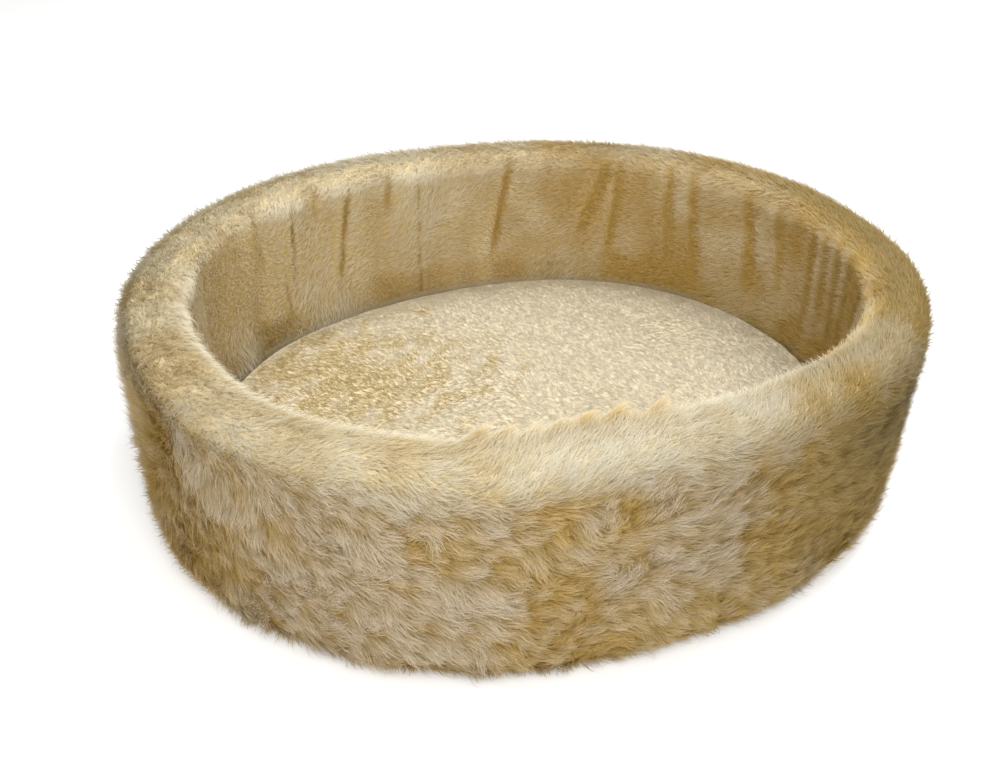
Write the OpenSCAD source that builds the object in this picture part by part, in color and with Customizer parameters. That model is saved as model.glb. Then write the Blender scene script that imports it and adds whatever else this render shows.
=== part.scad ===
// Oval pet bed: a foam wall in a plush fur cover, a foam floor and a loose fur cushion.
// X runs along the bed, Y towards the back, Z up. The origin is under the middle of the bed.

/* [Bed] */
// Length outside
bed_length = 752; // [740:2:800]
// Width outside
bed_width = 644; // [620:2:660]
// Height of the wall
bed_height = 208; // [190:1:230]
// How far the foot of the wall leans in
wall_lean = 8; // [4:0.5:12]
// Distance of the wall's upright seam from the middle of the back
seam_offset = 20; // [-30:1:30]

/* [Foam and fur] */
// Thickness of the wall foam
foam_thickness = 38; // [36:1:42]
// Thickness of the base foam
base_thickness = 26; // [22:1:30]
// Depth of the fur, cloth and pile together
fur_depth = 11; // [10:0.5:12]
// Radius of the rim and of the outer bottom edge
edge_radius = 26; // [24:0.5:28]

/* [Cushion] */
// Height of the cushion
cushion_height = 35; // [30:1:40]
// Gap between the cushion and the wall
cushion_gap = 2; // [1:0.25:3]
// Radius of the cushion's top edge
cushion_edge = 10; // [8:0.5:12]
// Thickness of the cushion's side band
band_thickness = 8; // [6:0.5:10]

/* [Zip] */
// Travel of the zip slider
zip_travel = 380; // [300:10:400]
// Length of the zip pull
pull_length = 20; // [16:1:24]

/* [Hidden] */
$fn = 96;

fur_colour = [0.87, 0.79, 0.58];
cushion_colour = [0.90, 0.82, 0.65];
foam_colour = [0.95, 0.93, 0.80];
cloth_colour = [0.80, 0.72, 0.55];
panel_colour = [0.36, 0.29, 0.20];
thread_colour = [0.78, 0.66, 0.40];
zip_colour = [0.55, 0.47, 0.33];
metal_colour = [0.75, 0.75, 0.77];

// Gap that keeps neighbouring solids apart, thickness of the plain cloths, and the sewing thread
air = 0.2;
cloth = 1.2;
thread_width = 0.8;
thread_depth = 0.5;
cut = 1; // how far a cutter runs past a face
arc_steps = 5;
quarter_lap = 1;

// The wall follows an oval of four arcs through the middle of its foam. The centres of two
// neighbouring arcs and the middle of the bed make a 7-24-25 triangle, so the arcs meet smoothly.
half_foam = foam_thickness / 2;
half_wall = half_foam + fur_depth;
oval_a = bed_length / 2 - half_wall;
oval_b = bed_width / 2 - half_wall;
arc_unit = (oval_a - oval_b) / 6;
end_radius = oval_a - 7 * arc_unit;
side_radius = oval_b + 24 * arc_unit;
end_turn = acos(0.28);
seam_turn = asin(seam_offset / side_radius);

// Wall section: the fur is pressed flat where it turns in under the foam.
hem_height = 2.4;
foot_room = 1;
foam_bottom = hem_height + air;
foam_foot = edge_radius - foam_bottom - foot_room;
foam_edge = edge_radius - fur_depth;
foam_top = bed_height - fur_depth;
rim_u = half_wall - edge_radius;
rim_z = bed_height - edge_radius;
foot_u = half_foam - foam_foot;
foot_z = foam_bottom + foam_foot;
seam_width = 1.2;
seam_depth = 8;
seam_end = 1; // from the ends of the upright part of the seam to the ends of its thread

// Floor, from the ground up
base_bottom = cloth + air;
base_top = base_bottom + base_thickness;
lining_bottom = base_top + air;
lining_top = lining_bottom + cloth;
cushion_bottom = lining_top + 2 * air;
cushion_top_z = cushion_bottom + cushion_height;
panel_inset = air - foot_u + wall_lean;
base_inset = half_foam + wall_lean + 2 * air;
lining_inset = half_foam - lean_at(lining_bottom) + air;
skirt_inset = half_wall - lean_at(lining_top);
cushion_inset = half_wall - lean_at(cushion_bottom) + cushion_gap;
core_inset = cushion_inset + band_thickness + air;
hem_stitch = 6; // from the panel's edge to its stitches
cushion_stitch = 4; // from the cushion base's edge to its stitches
hem_thread_inset = panel_inset + hem_stitch;
cushion_thread_inset = core_inset + cushion_stitch;

// Zip: tapes on turned hems, a slot between the hems, and a channel in the base foam
slot_half = 8;
slot_room = 60; // how much longer the slot is than the zip's travel
slot_length = zip_travel + slot_room;
hem_half = 18;
hem_top = 4.5;
hem_ends = 12;
tape_bottom = hem_top + air;
tape_thickness = 0.6;
tape_in = 2.8;
tape_out = 17;
tape_length = slot_length + hem_ends;
stitch_line = 13;
stitch_ends = 3; // how much longer the line of stitches is than the slot
coil_in = 0.6;
coil_radius = 0.9;
coil_z = tape_bottom + tape_thickness / 2;
channel_half = 7;
channel_top = 8.2;

// Slider: two plates round the coils, joined by a wedge between the rows, and ears with a pin
slider_length = 11;
slider_half = 4.4;
plate = 1;
mouth_half = 1.3;
flange = 0.8;
flange_height = 0.8;
wedge_half = 0.3;
wedge_length = 4;
slider_x = zip_travel / 2;
pin_z = 1.6;
pin_radius = 0.45;
ear_in = 1.7;
ear_out = 2.6;
eye_radius = 0.95;
bore_radius = 0.5;
eye_width = 3;
pull_width = 6;
pull_thickness = 1;
neck_length = 5;
stop_length = 3;
stop_half = 2.6;
stop_gap = 0.6;
stop_x = slider_x + slider_length / 2 + stop_gap;

function lean_at(z) = -wall_lean * (1 - z / bed_height);
function leaned(points) = [for (p = points) [p[0] + lean_at(p[1]), p[1]]];
function arc(u, z, r, from, to) =
    [for (i = [0 : arc_steps]) let (t = from + (to - from) * i / arc_steps) [u + r * cos(t), z + r * sin(t)]];

// Line over the rim that lies a depth below the face of the fur, from the outside to the inside
function rim_line(depth, outside_z, inside_z) = concat(
    [[half_wall - depth, outside_z]],
    arc(rim_u, rim_z, edge_radius - depth, 0, 90),
    arc(-rim_u, rim_z, edge_radius - depth, 90, 180),
    [[depth - half_wall, inside_z]]
);
function backwards(points) = [for (i = [len(points) - 1 : -1 : 0]) points[i]];
function rim_band(outer, inner, outside_z, inside_z) =
    leaned(concat(rim_line(outer, outside_z, inside_z), backwards(rim_line(inner, outside_z, inside_z))));

// Carries a section round the oval. The section's x is the distance out from the oval, and
// $reach is how far in the middle of the arc lies. Each quarter is half of an end arc and half of
// a side arc, which start where they meet and run a little past the middle into the next quarter.
module around_oval() {
    for (flip_x = [0, 1], flip_y = [0, 1])
        mirror([flip_x, 0, 0]) mirror([0, flip_y, 0]) {
            translate([oval_a - end_radius, 0, 0]) mirror([0, 1, 0])
                half_arc(end_radius, -end_turn, end_turn) children();
            translate([0, oval_b - side_radius, 0])
                half_arc(side_radius, end_turn, 90 - end_turn) children();
        }
}

module half_arc(radius, start, turn) {
    rotate([0, 0, start]) rotate_extrude(angle = turn + quarter_lap)
        translate([radius, 0]) let ($reach = radius) children();
}

// A flat slab that ends an inset inside the oval
module slab(inset, bottom, top) {
    around_oval() translate([-$reach, bottom]) square([$reach - inset, top - bottom]);
}

// A thread or groove that runs round the oval
module thread_ring(inset, width, bottom, top) {
    around_oval() translate([-inset - width / 2, bottom]) square([width, top - bottom]);
}

// An upright section across the wall at the seam
module at_seam(width) {
    translate([0, oval_b - side_radius, 0]) rotate([0, 0, -seam_turn]) translate([0, side_radius, 0])
        rotate([90, 0, 90]) linear_extrude(width, center = true) children();
}

// A bar along the zip, from one distance and level to another
module zip_bar(length, from_y, to_y, from_z, to_z, x = 0) {
    translate([x - length / 2, from_y, from_z]) cube([length, to_y - from_y, to_z - from_z]);
}

module wall_foam() {
    color(foam_colour) difference() {
        around_oval() polygon(leaned(concat(
            [[-half_foam, foam_bottom]],
            arc(foot_u, foot_z, foam_foot, -90, 0),
            arc(half_foam - foam_edge, foam_top - foam_edge, foam_edge, 0, 90),
            arc(foam_edge - half_foam, foam_top - foam_edge, foam_edge, 90, 180)
        )));
        at_seam(2 * air) translate([-half_wall - wall_lean, 0]) square([2 * (half_wall + wall_lean), bed_height]);
    }
}

module base_foam() {
    color(foam_colour) difference() {
        slab(base_inset, base_bottom, base_top);
        zip_bar(tape_length + hem_ends, -hem_half - cut, hem_half + cut, 0, tape_bottom + cut);
        zip_bar(slot_length, -channel_half, channel_half, 0, channel_top);
    }
}

module wall_cover() {
    inside_z = lining_top + air;
    color(fur_colour) difference() {
        around_oval() polygon(leaned(concat(
            [[foot_u, 0]],
            arc(rim_u, edge_radius, edge_radius, -90, 0),
            arc(rim_u, rim_z, edge_radius, 0, 90),
            arc(-rim_u, rim_z, edge_radius, 90, 180),
            [[-half_wall, inside_z], [-half_foam - air, inside_z]],
            arc(-rim_u, rim_z, foam_edge + air, 180, 90),
            arc(rim_u, rim_z, foam_edge + air, 90, 0),
            arc(foot_u, foot_z, foam_foot + air, 0, -90)
        )));
        at_seam(seam_width) polygon(rim_band(-cut, seam_depth, edge_radius, 0));
    }
}

module wall_seam_thread() {
    color(thread_colour) at_seam(thread_width)
        polygon(rim_band(seam_depth - thread_depth, seam_depth - air / 4,
            edge_radius + seam_end, lining_top + seam_end));
}

module floor_lining() {
    color(cloth_colour) slab(lining_inset, lining_bottom, lining_top);
}

module floor_seam_thread() {
    color(thread_colour)
        thread_ring(skirt_inset + thread_width, thread_width, lining_top, lining_top + thread_depth);
}

module underside_panel() {
    color(panel_colour) difference() {
        union() {
            slab(panel_inset, 0, cloth);
            zip_bar(slot_length + hem_ends, -hem_half, hem_half, cloth / 2, hem_top);
        }
        zip_bar(slot_length, -slot_half, slot_half, -cut, hem_top + cut);
        thread_ring(hem_thread_inset, thread_width + air, -cut, thread_depth + air);
        zip_seam(thread_width + air, -cut, thread_depth + air);
    }
}

module hem_thread() {
    color(thread_colour) thread_ring(hem_thread_inset, thread_width, air / 4, thread_depth);
}

// The line of stitches round the slot
module zip_seam(width, bottom, top) {
    length = slot_length + stitch_ends;
    difference() {
        zip_bar(length + width, -stitch_line - width / 2, stitch_line + width / 2, bottom, top);
        zip_bar(length - width, width / 2 - stitch_line, stitch_line - width / 2, bottom - cut, top + cut);
    }
}

module zip_thread() {
    color(thread_colour) zip_seam(thread_width, air / 4, thread_depth);
}

module zip_tape(side) {
    low = side > 0 ? tape_in : -tape_out;
    color(zip_colour) zip_bar(tape_length, low, low + tape_out - tape_in, tape_bottom, tape_bottom + tape_thickness);
}

module zip_coil(side) {
    width = tape_in - coil_in - 2 * coil_radius;
    middle = side * (coil_in + tape_in) / 2;
    color(zip_colour) translate([-stop_x, middle, coil_z]) rotate([90, 0, 90]) linear_extrude(2 * stop_x) {
        for (edge = [-1, 1]) translate([edge * width / 2, 0]) circle(coil_radius);
        square([width, 2 * coil_radius], center = true);
    }
}

module zip_stops() {
    color(metal_colour) for (end = [-1, 1])
        zip_bar(stop_length, -stop_half, stop_half, coil_z - coil_radius, coil_z + coil_radius,
            x = end * (stop_x + stop_length / 2));
}

module zip_slider() {
    color(metal_colour) translate([slider_x, 0, 0]) {
        for (face = [-1, 1]) {
            near = coil_z + face * mouth_half;
            far = near + face * plate;
            lip = near - face * flange_height;
            zip_bar(slider_length, -slider_half, slider_half, min(near, far), max(near, far));
            for (edge = [-1, 1])
                zip_bar(slider_length, min(edge * slider_half, edge * (slider_half - flange)),
                    max(edge * slider_half, edge * (slider_half - flange)), min(near, lip), max(near, lip));
        }
        zip_bar(wedge_length, -wedge_half, wedge_half, coil_z - mouth_half, coil_z + mouth_half,
            x = wedge_length / 2);
        for (edge = [-1, 1]) {
            low = edge > 0 ? ear_in : -ear_out;
            translate([0, low, pin_z]) rotate([-90, 0, 0]) cylinder(h = ear_out - ear_in, r = eye_radius);
            zip_bar(2 * eye_radius, low, low + ear_out - ear_in, pin_z, coil_z - mouth_half - plate / 2);
        }
        translate([0, -ear_in, pin_z]) rotate([-90, 0, 0]) cylinder(h = 2 * ear_in, r = pin_radius);
    }
}

module zip_pull() {
    color(metal_colour) translate([slider_x, 0, pin_z]) difference() {
        union() {
            translate([0, -eye_width / 2, 0]) rotate([-90, 0, 0]) cylinder(h = eye_width, r = eye_radius);
            zip_bar(neck_length, -eye_width / 2, eye_width / 2, -pull_thickness / 2, pull_thickness / 2,
                x = -neck_length / 2);
            zip_bar(pull_length - neck_length - pull_width / 2, -pull_width / 2, pull_width / 2,
                -pull_thickness / 2, pull_thickness / 2,
                x = -(neck_length + pull_length - pull_width / 2) / 2);
            translate([pull_width / 2 - pull_length, 0, -pull_thickness / 2])
                cylinder(h = pull_thickness, r = pull_width / 2);
        }
        translate([0, -eye_width, 0]) rotate([-90, 0, 0]) cylinder(h = 2 * eye_width, r = bore_radius);
    }
}

module cushion_top() {
    inner_top = cushion_top_z - fur_depth;
    color(cushion_colour) around_oval() polygon(concat(
        [[-$reach, inner_top], [air - core_inset, inner_top], [air - core_inset, cushion_bottom],
            [-cushion_inset, cushion_bottom]],
        arc(-cushion_inset - cushion_edge, cushion_top_z - cushion_edge, cushion_edge, 0, 90),
        [[-$reach, cushion_top_z]]
    ));
}

module cushion_base() {
    color(cloth_colour) difference() {
        slab(core_inset, cushion_bottom, cushion_bottom + cloth);
        thread_ring(cushion_thread_inset, thread_width + air, cushion_bottom - cut,
            cushion_bottom + thread_depth + air);
    }
}

module cushion_core() {
    color(foam_colour) slab(core_inset, cushion_bottom + cloth + air, cushion_top_z - fur_depth - air);
}

module cushion_thread() {
    color(thread_colour) thread_ring(cushion_thread_inset, thread_width, cushion_bottom + air / 4,
        cushion_bottom + thread_depth);
}

wall_foam();
base_foam();
wall_cover();
floor_lining();
underside_panel();
wall_seam_thread();
floor_seam_thread();
hem_thread();
zip_tape(-1);  // zip_tape_front
zip_tape(1);  // zip_tape_rear
zip_coil(-1);  // zip_coil_front
zip_coil(1);  // zip_coil_rear
zip_stops();
zip_thread();
zip_slider();
zip_pull();
cushion_top();
cushion_base();
cushion_core();
cushion_thread();
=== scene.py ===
"""Looks of an oval pet bed: plush wall and rim, loose plush cushion, cloth floor and zipped underside."""

import math

import bmesh
import bpy
import numpy as np
from mathutils import Matrix, Vector
from mathutils.bvhtree import BVHTree


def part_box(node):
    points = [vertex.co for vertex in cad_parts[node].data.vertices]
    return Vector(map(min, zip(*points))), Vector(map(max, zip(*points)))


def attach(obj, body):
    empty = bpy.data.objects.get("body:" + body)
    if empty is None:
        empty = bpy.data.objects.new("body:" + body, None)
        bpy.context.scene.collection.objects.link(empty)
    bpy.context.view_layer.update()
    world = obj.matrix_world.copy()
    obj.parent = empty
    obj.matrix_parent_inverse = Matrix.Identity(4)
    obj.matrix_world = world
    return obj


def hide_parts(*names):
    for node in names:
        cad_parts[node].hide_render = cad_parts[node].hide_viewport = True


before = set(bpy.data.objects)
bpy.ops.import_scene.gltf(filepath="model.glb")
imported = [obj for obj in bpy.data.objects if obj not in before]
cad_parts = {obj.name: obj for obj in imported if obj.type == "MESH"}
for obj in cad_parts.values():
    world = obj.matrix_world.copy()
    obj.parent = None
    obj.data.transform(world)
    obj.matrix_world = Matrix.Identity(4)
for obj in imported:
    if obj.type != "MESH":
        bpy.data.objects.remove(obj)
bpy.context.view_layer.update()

# Sizes are in metres. The oval and the levels come from the frame. OUTER_PILE, INNER_PILE and
# CUSHION_PILE are how far the cloth lies inside the faces of the solid plush.
FOAM_HALF = 0.019
FUR_DEPTH = 0.011
EDGE_RADIUS = 0.026
WALL_LEAN = 0.008
OUTER_PILE = 0.0070
INNER_PILE = 0.0055
CUSHION_PILE = 0.0030
CUSHION_EDGE = 0.007
CUSHION_SPREAD = 0.004
CUSHION_BAND = 0.008
CUSHION_SWELL = 0.0045
CUSHION_VOXEL = 0.0055
CUSHION_SIDE_SWELL = 0.0010
HALF_WALL = FOAM_HALF + FUR_DEPTH
SECTION_STEP = 0.0028
CLOTH_STEP = 0.0034
LINING_GAP = 0.0004

cover_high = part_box("wall_cover")[1]
cushion_low, cushion_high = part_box("cushion_top")
lining_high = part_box("floor_lining")[1]

BED_HEIGHT = cover_high.z
RIM_Z = BED_HEIGHT - EDGE_RADIUS
RIM_U = HALF_WALL - EDGE_RADIUS
WIDEST = WALL_LEAN * (1 - RIM_Z / BED_HEIGHT) - HALF_WALL
OVAL_A = cover_high.x + WIDEST
OVAL_B = cover_high.y + WIDEST
# The oval is four arcs, whose middles and joins come from a triangle of sides 7, 24 and 25.
ARC_UNIT = (OVAL_A - OVAL_B) / 6
END_RADIUS = OVAL_A - 7 * ARC_UNIT
SIDE_RADIUS = OVAL_B + 24 * ARC_UNIT
END_TURN = math.acos(7 / 25)
END_ARC = END_RADIUS * END_TURN
QUARTER = END_ARC + SIDE_RADIUS * (math.pi / 2 - END_TURN)
PERIMETER = 4 * QUARTER
SEAM_X = (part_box("wall_seam_thread")[0].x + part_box("wall_seam_thread")[1].x) / 2
SEAM_S = QUARTER - SIDE_RADIUS * math.asin(SEAM_X / SIDE_RADIUS)
CUSHION_INSET = OVAL_A - cushion_high.x
CUSHION_RIM = CUSHION_INSET + CUSHION_PILE - CUSHION_SPREAD

# The most triangles in a piece of pile, so that it is kept whole.
STL_TRIANGLES = 198000
# How unlike the strands' brightness is, and how far each one's own face shows in its shading.
TONE_JITTER = 0.2
WALL_RELIEF = 0.32
CUSHION_RELIEF = 0.12
HIGHEST_STRAND = BED_HEIGHT + 0.0150


# ---------------------------------------------------------------- numbers

def lattice(cell, seed):
    """A pseudo-random number from -1 to 1 for each whole-number point."""
    cell = cell.astype(np.int64).astype(np.uint32)
    n = cell[..., 0] * np.uint32(73856093) ^ cell[..., 1] * np.uint32(19349663)
    n = n ^ cell[..., 2] * np.uint32(83492791) ^ np.uint32(seed * 2654435761 % 2**32)
    n ^= n >> np.uint32(15)
    n *= np.uint32(2246822519)
    n ^= n >> np.uint32(13)
    n *= np.uint32(3266489917)
    n ^= n >> np.uint32(16)
    return n.astype(np.float32) / np.float32(2**31) - 1


# Keeps the noise's grid lines off the middle of the bed.
NOISE_SHIFT = 37.7


def noise(points, size, seed):
    """Smooth noise from -1 to 1 with features of the given size."""
    q = points / size + NOISE_SHIFT
    cell = np.floor(q)
    f = (q - cell).astype(np.float32)
    w = f * f * (3 - 2 * f)
    total = np.zeros(q.shape[:-1], np.float32)
    for corner in np.ndindex(2, 2, 2):
        share = np.prod(np.where(np.array(corner), w, 1 - w), axis=-1)
        total += share * lattice(cell + np.array(corner), seed)
    return total


def layered(points, size, seed):
    """Noise with noise of half the size and height on top of it."""
    return noise(points, size, seed) + 0.5 * noise(points, 0.5 * size, seed + 11)


def step(x, low, high):
    """0 below low, 1 above high, smooth between."""
    t = np.clip((x - low) / (high - low), 0, 1)
    return t * t * (3 - 2 * t)


def bump(x, width):
    """1 at 0, falling away smoothly over a width."""
    return np.exp(-(x / width) ** 2)


def unit(v):
    return v / np.maximum(np.linalg.norm(v, axis=-1, keepdims=True), 1e-9)


# ---------------------------------------------------------------- the wall's surface

def oval(s):
    """Point, outward direction and arc radius at a distance s round the oval from the +X end."""
    s = np.mod(s, PERIMETER)
    quarter = np.floor(s / QUARTER)
    r = s - quarter * QUARTER
    r = np.where(quarter % 2 == 1, QUARTER - r, r)
    on_end = r < END_ARC
    turn = np.where(on_end, r / END_RADIUS, END_TURN + (r - END_ARC) / SIDE_RADIUS)
    turns = [turn, math.pi - turn, math.pi + turn]
    turn = np.select([quarter == 0, quarter == 1, quarter == 2], turns, 2 * math.pi - turn)
    out_x, out_y = np.cos(turn), np.sin(turn)
    radius = np.where(on_end, END_RADIUS, SIDE_RADIUS)
    x = np.where(on_end, np.sign(out_x) * (OVAL_A - END_RADIUS), 0) + radius * out_x
    y = np.where(on_end, 0, np.sign(out_y) * (OVAL_B - SIDE_RADIUS)) + radius * out_y
    return x, y, out_x, out_y, radius


def depth_inside(x, y):
    """How far a point lies inside the oval."""
    ax, ay = np.abs(x), np.abs(y)
    on_end = (ax - OVAL_A + END_RADIUS) * math.sin(END_TURN) > ay * math.cos(END_TURN)
    to_end = END_RADIUS - np.hypot(ax - OVAL_A + END_RADIUS, ay)
    to_side = SIDE_RADIUS - np.hypot(ax, ay + SIDE_RADIUS - OVAL_B)
    return np.where(on_end, to_end, to_side)


def arc_points(u, z, start, end, ru, rz, count=24):
    """Points of an arc about (u, z) between two angles in degrees."""
    t = np.radians(np.linspace(start, end, count))
    return np.stack([u + ru * np.cos(t), z + rz * np.sin(t)], 1)


def wall_section():
    """The cloth's section: in under the foot, up the outside, over the rim and down the inside."""
    foot_u, foot_z = -0.0034, 0.0018  # the middle and the lowest point of the foot's arc
    face = HALF_WALL - OUTER_PILE
    top = EDGE_RADIUS - OUTER_PILE
    return np.concatenate([
        arc_points(foot_u, EDGE_RADIUS, -90, 0, face - foot_u, EDGE_RADIUS - foot_z),
        arc_points(RIM_U, RIM_Z, 0, 90, face - RIM_U, top),
        arc_points(-RIM_U, RIM_Z, 90, 180, EDGE_RADIUS - INNER_PILE, top),
        [[INNER_PILE - HALF_WALL, lining_high.z + LINING_GAP]],
    ])


def cushion_section():
    """The cushion cloth's section from under its edge, up its side and in over its top."""
    base_gap, base_edge = 0.0003, 0.003
    reach, rise = 0.030, 0.0006
    side = -CUSHION_RIM
    top = cushion_high.z - CUSHION_PILE
    low = cushion_low.z + base_gap
    edge = CUSHION_EDGE - CUSHION_PILE / 2
    return np.concatenate([
        [[side - CUSHION_BAND / 2, low]],
        arc_points(side - base_edge, low + base_edge, -90, 0, base_edge, base_edge, 6),
        arc_points(side - edge, top - edge, 0, 90, edge, edge, 12),
        [[side - reach, top + rise]],
    ])


class Section:
    """A section's points at equal steps, with its outward normals."""

    def __init__(self, path, spacing):
        walked = np.concatenate([[0], np.cumsum(np.linalg.norm(np.diff(path, axis=0), axis=1))])
        keep = np.concatenate([[True], np.diff(walked) > 1e-7])
        self.at = np.linspace(0, walked[-1], int(round(walked[-1] / spacing)) + 1)
        self.points = np.stack([np.interp(self.at, walked[keep], path[keep, i]) for i in (0, 1)], 1)
        along = np.gradient(self.points, axis=0)
        self.normals = unit(np.stack([along[:, 1], -along[:, 0]], 1))
        self.length = self.at[-1]

    def read(self, v):
        v = np.clip(v, 0, self.length)
        columns = [*self.points.T, *self.normals.T]
        return [np.interp(v, self.at, column) for column in columns]


WALL = Section(wall_section(), SECTION_STEP)
CUSHION = Section(cushion_section(), SECTION_STEP)
V_RIM = float(WALL.at[np.argmax(WALL.points[:, 1])])
INNER_DROP = WALL.length - V_RIM

# Creases in the cloth inside the wall: place on the oval at the rim and at the floor, where each
# starts and ends below the rim, its depth and its half width.
CREASES = [
    (0.806, 0.826, 0.018, 0.150, 0.0034, 0.0028),
    (0.722, 0.694, 0.012, 0.100, 0.0030, 0.0024),
    (0.700, 0.668, 0.090, 0.165, 0.0028, 0.0022),
    (0.650, 0.666, 0.010, 0.130, 0.0034, 0.0025),
    (0.618, 0.628, 0.012, 0.070, 0.0024, 0.0024),
    (0.578, 0.606, 0.014, 0.150, 0.0035, 0.0034),
    (0.516, 0.540, 0.012, 0.085, 0.0028, 0.0034),
    (0.360, 0.412, 0.010, 0.150, 0.0030, 0.0040),
    (0.317, 0.325, 0.016, 0.060, 0.0024, 0.0024),
    (0.238, 0.312, 0.012, 0.125, 0.0030, 0.0045),
    (0.228, 0.252, 0.014, 0.150, 0.0028, 0.0038),
    (0.166, 0.152, 0.010, 0.160, 0.0035, 0.0034),
    (0.140, 0.106, 0.014, 0.150, 0.0030, 0.0040),
    (0.060, 0.036, 0.016, 0.150, 0.0034, 0.0050),
    (0.010, 2.006, 0.020, 0.130, 0.0030, 0.0034),
    (1.990, 1.962, 0.012, 0.160, 0.0035, 0.0034),
    (1.958, 1.944, 0.018, 0.140, 0.0032, 0.0030),
    (1.926, 1.910, 0.010, 0.155, 0.0035, 0.0036),
    (1.893, 1.880, 0.012, 0.150, 0.0032, 0.0030),
    (1.852, 1.856, 0.014, 0.160, 0.0035, 0.0036),
    (1.804, 1.790, 0.014, 0.120, 0.0032, 0.0036),
    (1.740, 1.752, 0.012, 0.150, 0.0030, 0.0034),
    (1.652, 1.628, 0.012, 0.130, 0.0032, 0.0036),
    (1.566, 1.570, 0.016, 0.110, 0.0028, 0.0030),
    (1.470, 1.500, 0.012, 0.140, 0.0032, 0.0038),
    (1.392, 1.380, 0.014, 0.100, 0.0030, 0.0030),
    (1.300, 1.322, 0.012, 0.150, 0.0032, 0.0036),
    (1.214, 1.200, 0.014, 0.120, 0.0030, 0.0034),
    (1.120, 1.138, 0.012, 0.150, 0.0034, 0.0036),
    (1.042, 1.030, 0.016, 0.110, 0.0028, 0.0030),
    (0.955, 0.968, 0.012, 0.150, 0.0034, 0.0036),
    (0.878, 0.886, 0.014, 0.130, 0.0030, 0.0034),
]
# Where the soft wall stands proud of the true oval: place, height, reach along and up, out and up.
SWELLS = [
    (0.620, 0.190, 0.200, 0.080, 0.003, 0.007),
    (0.900, 0.150, 0.100, 0.090, 0.003, 0.003),
    (1.130, 0.200, 0.070, 0.060, 0.000, -0.004),
    (1.420, 0.200, 0.080, 0.050, 0.001, 0.007),
    (1.600, 0.040, 0.110, 0.060, 0.006, 0.000),
]
CREASE_FADE = 0.045
CREASE_SPREAD = 1.4
CREASE_DEPTH = 0.75
CREASE_WANDER = 0.005
CREASE_BEND = 3.1
CREASE_PHASE = 40
LIP_SHARE = 0.6
LIP_PLACE = 2.6
LIP_WIDTH = 1.6
SEAM_DEPTH = 0.0045
SEAM_WIDTH = 0.0016
SEAM_LIP_PLACE = 0.004
SEAM_LIP_WIDTH = 0.002
SEAM_LIP_SHARE = 0.25
FOLD_HEIGHT = 0.0038
DEEPEST = 0.0048
LUMP_HEIGHT = 0.0030
RIM_WAVE = 0.0022


def around(s, place):
    """Signed distance round the oval from a place."""
    return np.mod(s - place + PERIMETER / 2, PERIMETER) - PERIMETER / 2


def creased(s, v):
    """Height of the sewn and gathered cloth, how deep in a crease each place is, and how high on a lip."""
    below = v - V_RIM
    way = np.clip(below / INNER_DROP, 0, 1)
    height, inside, ridge = np.zeros_like(s), np.zeros_like(s), np.zeros_like(s)
    for top, foot, first, last, depth, width in CREASES:
        wander = CREASE_WANDER * np.sin(CREASE_BEND * way + CREASE_PHASE * top)
        d = around(s, top + around(np.array(foot), top) * way + wander)
        show = step(below, first, first + CREASE_FADE) * (1 - step(below, last - CREASE_FADE, last))
        valley = bump(d, CREASE_SPREAD * width) * show
        lip = bump(d - LIP_PLACE * width, LIP_WIDTH * width) * show
        height += CREASE_DEPTH * depth * (LIP_SHARE * lip - valley)
        inside = np.maximum(inside, valley)
        ridge = np.maximum(ridge, lip)
    d = around(s, SEAM_S)
    sewn = step(v, EDGE_RADIUS, EDGE_RADIUS + 0.01)
    seam = sewn * bump(d, SEAM_WIDTH)
    height -= SEAM_DEPTH * (seam - SEAM_LIP_SHARE * sewn * bump(np.abs(d) - SEAM_LIP_PLACE, SEAM_LIP_WIDTH))
    seam_ridge = LIP_SHARE * sewn * bump(d - SEAM_LIP_PLACE, SEAM_LIP_WIDTH)
    return height, np.maximum(inside, seam), np.maximum(ridge, seam_ridge)


def folds(ring):
    """Soft upright folds: how far the inner wall swells, from about -1 to 1."""
    return noise(ring, 0.042, 21) + 0.4 * noise(ring, 0.02, 22)


def wall_point(s, v, h=0.0):
    """Point, outward normal and stretch on the wall's cloth, h above it."""
    oval_x, oval_y, out_x, out_y, radius = oval(s)
    u, z, nu, nz = WALL.read(v)
    place = np.stack([oval_x, oval_y, 0.6 * z + 0.4 * u], -1)
    outside = step(V_RIM - v, 0.005, 0.040)
    inside = step(v - V_RIM, 0.008, 0.045)
    lumps = 0.35 + 0.5 * noise(place, 0.070, 9) + 0.35 * noise(place, 0.026, 10)
    ring = np.stack([oval_x, oval_y, 0.3 * z], -1)
    fold = FOLD_HEIGHT * folds(ring) * inside
    h = h + LUMP_HEIGHT * lumps * outside + np.maximum(fold + creased(s, v)[0], -DEEPEST)
    ring[..., 2] = 0
    lean = WALL_LEAN * (1 - z / BED_HEIGHT)
    out, up = 0.0, step(z, 0.10, BED_HEIGHT) * RIM_WAVE * noise(ring, 0.11, 5)
    for where, height, reach, spread, proud, rise in SWELLS:
        share = bump(around(s, where), reach) * bump(z - height, spread)
        out, up = out + proud * share, up + rise * share
    z = z + up
    r = u + h * nu - lean + out
    point = np.stack([oval_x + r * out_x, oval_y + r * out_y, z + h * nz], -1)
    return point, np.stack([out_x * nu, out_y * nu, nz], -1), 1 + u / radius


# ---------------------------------------------------------------- meshes

def shown(name, mesh):
    obj = bpy.data.objects.new(name, mesh)
    bpy.context.scene.collection.objects.link(obj)
    return obj


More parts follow.
